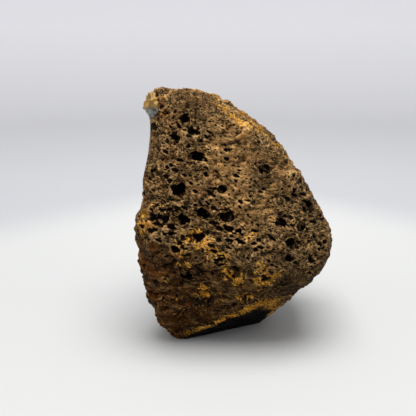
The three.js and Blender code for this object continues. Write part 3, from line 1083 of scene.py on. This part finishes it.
@dataclass
class Crystals:
    """The crust of amethyst points that stands on the agate."""

    name: str = "amethyst_points"
    node: str = "amethyst_crust"
    ground: str = "agate_lining"
    bed_mm: float = 3.0
    gap_mm: float = 0.3
    spacing_mm: float = 3.6
    widths_mm: tuple[float, float] = (2.4, 6.6)  # of a crystal's radius
    lean: float = 0.24
    trim_mm: float = 3.5
    shapes: int = 6
    seed: int = 4
    crowding: float = 900000.0  # points tried for each square metre, before they keep their distance
    weld_mm: float = 0.02
    inner_level: float = 0.93  # up to where a face of the lining is its inner wall
    hollow: Hollow = field(default_factory=Hollow)

    def points(self) -> bpy.types.Collection:
        """Makes a few quartz points, a unit in radius, with uneven tips.

        Returns:
            The collection that holds them.
        """
        holder = bpy.data.collections.new("quartz points")
        rng = np.random.default_rng(self.seed)
        # The foot goes 0.45 of its radius down into the bed, so that the widest crystal stays inside it.
        column = {"radius1": 1.0, "radius2": 1.0, "depth": 3.0, "matrix": Matrix.Translation((0, 0, 1.05))}
        for number in range(self.shapes):
            body = bmesh.new()
            bmesh.ops.create_cone(body, cap_ends=True, segments=6, **column)
            tall = 0.55 + 0.35 * rng.random()
            for side in range(6):
                turn = math.radians(60 * side + 30)
                # Quartz tips are six faces, three of them larger, at 52 degrees to the level.
                reach = tall + (0.0 if side % 2 else 0.22) + 0.25 * rng.random()
                normal = Vector((0.79 * math.cos(turn), 0.79 * math.sin(turn), 0.61))
                parts = body.verts[:] + body.edges[:] + body.faces[:]
                plane = {"plane_co": normal * reach, "plane_no": normal, "clear_outer": True}
                cut = bmesh.ops.bisect_plane(body, geom=parts, **plane)["geom_cut"]
                edges = [part for part in cut if isinstance(part, bmesh.types.BMEdge)]
                bmesh.ops.contextual_create(body, geom=edges)
            bmesh.ops.recalc_face_normals(body, faces=body.faces)
            mesh = bpy.data.meshes.new(f"quartz point {number + 1}")
            body.to_mesh(mesh)
            body.free()
            holder.objects.link(bpy.data.objects.new(mesh.name, mesh))
        return holder

    def tree(self) -> Tree:
        """Builds the tree that strews the points over the bed.

        Returns:
            The tree.
        """
        sizes = {
            "Bed": self.bed_mm * MM,
            "Gap": self.gap_mm * MM,
            "Spacing": self.spacing_mm * MM,
            "Least radius": self.widths_mm[0] * MM,
            "Most radius": self.widths_mm[1] * MM,
            "Lean": self.lean,
            "Seed": self.seed,
        }
        finishes = {"Finish": MATERIAL, "Bed finish": MATERIAL}
        tree, given = new_tree("Crystal crust", {**sizes, "Points": COLLECTION, **finishes})
        normal = add_node(tree, NORMAL, {})[0]
        wall, milky = (
            add_node(tree, STORED, {"Name": name}, data_type="BOOLEAN")[0] for name in ("wall", "milky")
        )
        inwards, room = (
            add_node(tree, STORED, {"Name": name}, data_type="FLOAT")[0] for name in ("inwards", "room")
        )

        # The bed: the lining's inner wall, lifted off it, thickened and closed.
        wall = {"Geometry": given["Geometry"], "Selection": wall}
        floor = add_node(tree, "GeometryNodeSeparateGeometry", wall, domain="FACE")[0]
        rise = add_node(tree, VECTOR, {0: normal, "Scale": given["Gap"]}, operation="SCALE")[0]
        floor = add_node(tree, MOVE, {"Geometry": floor, "Offset": rise})[0]
        thick = {"Mesh": floor, "Offset": normal, "Offset Scale": given["Bed"], "Individual": False}
        thick = add_node(tree, "GeometryNodeExtrudeMesh", thick, mode="FACES")
        risen = {"Geometry": thick[0], "Selection": thick[1], "Name": "risen", "Value": 1.0}
        risen = add_node(tree, STORE, risen, data_type="FLOAT", domain="POINT")[0]
        back = add_node(tree, "GeometryNodeFlipFaces", {"Mesh": floor})[0]
        bed = {"Geometry": add_node(tree, JOIN, {0: [risen, back]})[0], "Distance": self.weld_mm * MM}
        bed = add_node(tree, "GeometryNodeMergeByDistance", bed)[0]
        bed = {"Geometry": bed, "Name": "milky", "Value": True}
        bed = add_node(tree, STORE, bed, data_type="BOOLEAN", domain="FACE")[0]

        # Places for the crystals on the bed, each with its lean, turn and size.
        sown = {"Mesh": floor, "Distance Min": given["Spacing"], "Seed": given["Seed"]}
        sown = {**sown, "Density Max": self.crowding, "Density Factor": inwards}
        spots = add_node(tree, "GeometryNodeDistributePointsOnFaces", sown, distribute_method="POISSON")
        lift = add_node(tree, VECTOR, {0: spots[1], "Scale": given["Bed"]}, operation="SCALE")[0]
        places = add_node(tree, MOVE, {"Geometry": spots[0], "Offset": lift})[0]
        stray = {0: (-1.0,) * 3, 1: (1.0,) * 3, "Seed": 1}
        stray = add_node(tree, RANDOM, stray, data_type="FLOAT_VECTOR")[0]
        stray = add_node(tree, VECTOR, {0: stray, "Scale": given["Lean"]}, operation="SCALE")[0]
        way = add_node(tree, VECTOR, {0: spots[1], 1: stray}, operation="ADD")[0]
        upright = add_node(tree, "FunctionNodeAlignRotationToVector", {"Vector": way}, axis="Z")[0]
        spin, chance = (
            add_node(tree, RANDOM, {2: 0.0, 3: most, "Seed": seed}, data_type="FLOAT")[1]
            for most, seed in ((math.tau, 2), (1.0, 3))
        )
        spin = add_node(tree, "ShaderNodeCombineXYZ", {"Z": spin})[0]
        turned = {0: upright, 1: add_node(tree, "FunctionNodeEulerToRotation", {0: spin})[0]}
        turned = add_node(tree, "FunctionNodeRotateRotation", turned, rotation_space="LOCAL")[0]
        chance = add_node(tree, MATH, {0: chance, 1: 1.7}, operation="POWER")[0]
        size = {"Value": chance, "To Min": given["Least radius"], "To Max": given["Most radius"]}
        size = product(tree, add_node(tree, RANGE, size)[0], room)
        kinds = {"Collection": given["Points"], "Separate Children": True, "Reset Children": True}
        kinds = add_node(tree, "GeometryNodeCollectionInfo", kinds)[0]
        pick = add_node(tree, RANDOM, {4: 0, 5: self.shapes - 1, "Seed": 4}, data_type="INT")[2]
        grown = {"Points": places, "Instance": kinds, "Pick Instance": True, "Instance Index": pick}
        grown = {**grown, "Rotation": turned, "Scale": size}
        grown = add_node(tree, "GeometryNodeInstanceOnPoints", grown)[0]
        # Crystals that grew into one another are one clear body, with no faces inside it.
        joined = {"operation": "UNION", "solver": "MANIFOLD"}
        grown = add_node(tree, "GeometryNodeMeshBoolean", {"Mesh 2": grown}, **joined)[0]
        crust = add_node(tree, JOIN, {0: [grown, bed]})[0]
        milky = {"Selection": milky, "Material": given["Bed finish"]}
        end_tree(tree, crust, [{"Material": given["Finish"]}, milky])
        return tree

    def build(self) -> Piece:
        """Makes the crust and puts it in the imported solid's place.

        Returns:
            The finished piece.
        """
        piece = copy_of_node(self.ground)
        mesh = piece.data
        wall = mesh.attributes.new("wall", "BOOLEAN", "FACE")
        for face in mesh.polygons:
            middle = np.array(face.center) / MM
            inwards = np.array(self.hollow.centre_mm) - middle
            inwards /= np.linalg.norm(inwards)
            inner = self.hollow.level(middle[None])[0] < self.inner_level
            wall.data[face.index].value = bool(inner and float(np.dot(inwards, face.normal)) > 0.3)
        # Crystals grow smaller towards the rim, and what would jut out of the break is broken off there.
        depth = self.hollow.depth(points_mm(mesh))
        note(mesh, inwards=np.clip(depth - 4, 0, 1), room=ramp(depth, 2.5, 12, least=0.3))
        finishes = {"Finish": AmethystCrystal().material(), "Bed finish": MilkyQuartz().material()}
        dress_by(piece, self.tree(), {"Points": self.points(), **finishes})
        piece = baked(piece, self.name)
        grown = self.hollow.trimmed(points_mm(piece.data), self.trim_mm) * MM
        piece.data.vertices.foreach_set("co", grown.astype(np.float32).ravel())
        piece.data.update()
        return hand_over(piece, self.node)


# ---- The studio ----


@dataclass
class Studio:
    """A white paper bowl with soft lights and the camera."""

    floor_m: float = 1.1
    curve_m: float = 0.5
    wall_m: float = 0.5
    azimuth: float = 112.0
    elevation: float = 14.0
    distance_m: float = 0.43
    look_at_mm: Triple = (6.2, -23.5, 75.9)
    lens_mm: float = 60.0
    room: str = "fafafb"
    room_strength: float = 0.6

    def backdrop(self) -> Piece:
        """Makes the floor, which curves up into a wall all round.

        Returns:
            The backdrop.
        """
        outline = [(0.0, 0.0), (self.floor_m, 0.0)]
        steps = 12  # in the curve, a quarter of a circle
        for step in range(1, steps + 1):
            angle = math.radians(90 / steps * step)
            rise = self.curve_m * (1 - math.cos(angle))
            outline.append((self.floor_m + self.curve_m * math.sin(angle), rise))
        outline.append((self.floor_m + self.curve_m, self.curve_m + self.wall_m))
        body = bmesh.new()
        path = [body.verts.new((x, 0.0, z)) for x, z in outline]
        edges = [body.edges.new(pair) for pair in zip(path, path[1:])]
        whole_turn = {"cent": (0, 0, 0), "axis": (0, 0, 1), "angle": math.tau, "steps": 64, "use_merge": True}
        bmesh.ops.spin(body, geom=path + edges, **whole_turn)
        bmesh.ops.remove_doubles(body, verts=body.verts, dist=0.0001)
        bmesh.ops.recalc_face_normals(body, faces=body.faces)
        mesh = bpy.data.meshes.new("backdrop")
        body.to_mesh(mesh)
        body.free()
        mesh.shade_smooth()
        mesh.materials.append(MattPaper().material())
        made = linked("backdrop", mesh)
        return made

    def softbox(self, name: str, place: Triple, target: Triple, size: float, watts: float) -> None:
        """Hangs a square lamp.

        Args:
            name: The lamp's name.
            place: Where it hangs, in metres.
            target: The point it looks at, in metres.
            size: Its width, in metres.
            watts: Its power.
        """
        lamp = bpy.data.lights.new(name, "AREA")
        lamp.size = size
        lamp.energy = watts
        made = linked(name, lamp)
        made.location = place
        made.rotation_euler = (Vector(place) - Vector(target)).to_track_quat("Z", "Y").to_euler()

    def camera(self) -> None:
        """Makes the camera and the scene's way of showing light."""
        view = bpy.data.cameras.new("camera")
        view.lens = self.lens_mm
        view.sensor_width = 36.0
        made = linked("camera", view)
        # Azimuth 0 looks at the hollow, which opens towards -Y.
        back = Vector(direction(self.azimuth - 90, self.elevation))
        made.location = Vector(self.look_at_mm) * MM + back * self.distance_m
        made.rotation_euler = back.to_track_quat("Z", "Y").to_euler()
        bpy.context.scene.camera = made
        bpy.context.scene.view_settings.view_transform = "Standard"

    def build(self) -> None:
        """Sets up the floor, the lights and the camera."""
        self.backdrop()
        self.softbox("overhead softbox", (0.1, 0.045, 0.87), (0.0, 0.0, 0.07), 0.6, 8.7)
        self.softbox("backdrop softbox", (-0.25, -0.1, 0.6), (-1.5, -0.6, 0.1), 0.6, 1.6)
        world = bpy.data.worlds.new("soft room light")
        bpy.context.scene.world = world
        world.use_nodes = True
        surround = world.node_tree.nodes["Background"].inputs
        surround["Color"].default_value = linear(self.room)
        surround["Strength"].default_value = self.room_strength
        self.camera()


def main() -> None:
    """Builds the pieces in order, logs how many faces each has, and sets up the studio."""
    logging.basicConfig(level=logging.INFO, format="%(name)s: %(message)s")
    for maker in (Stone(), Lining(), Crystals()):
        piece = maker.build()
        log.info("%s: %d faces", piece.name, len(piece.data.polygons))
    Studio().build()


if __name__ == "__main__":
    main()
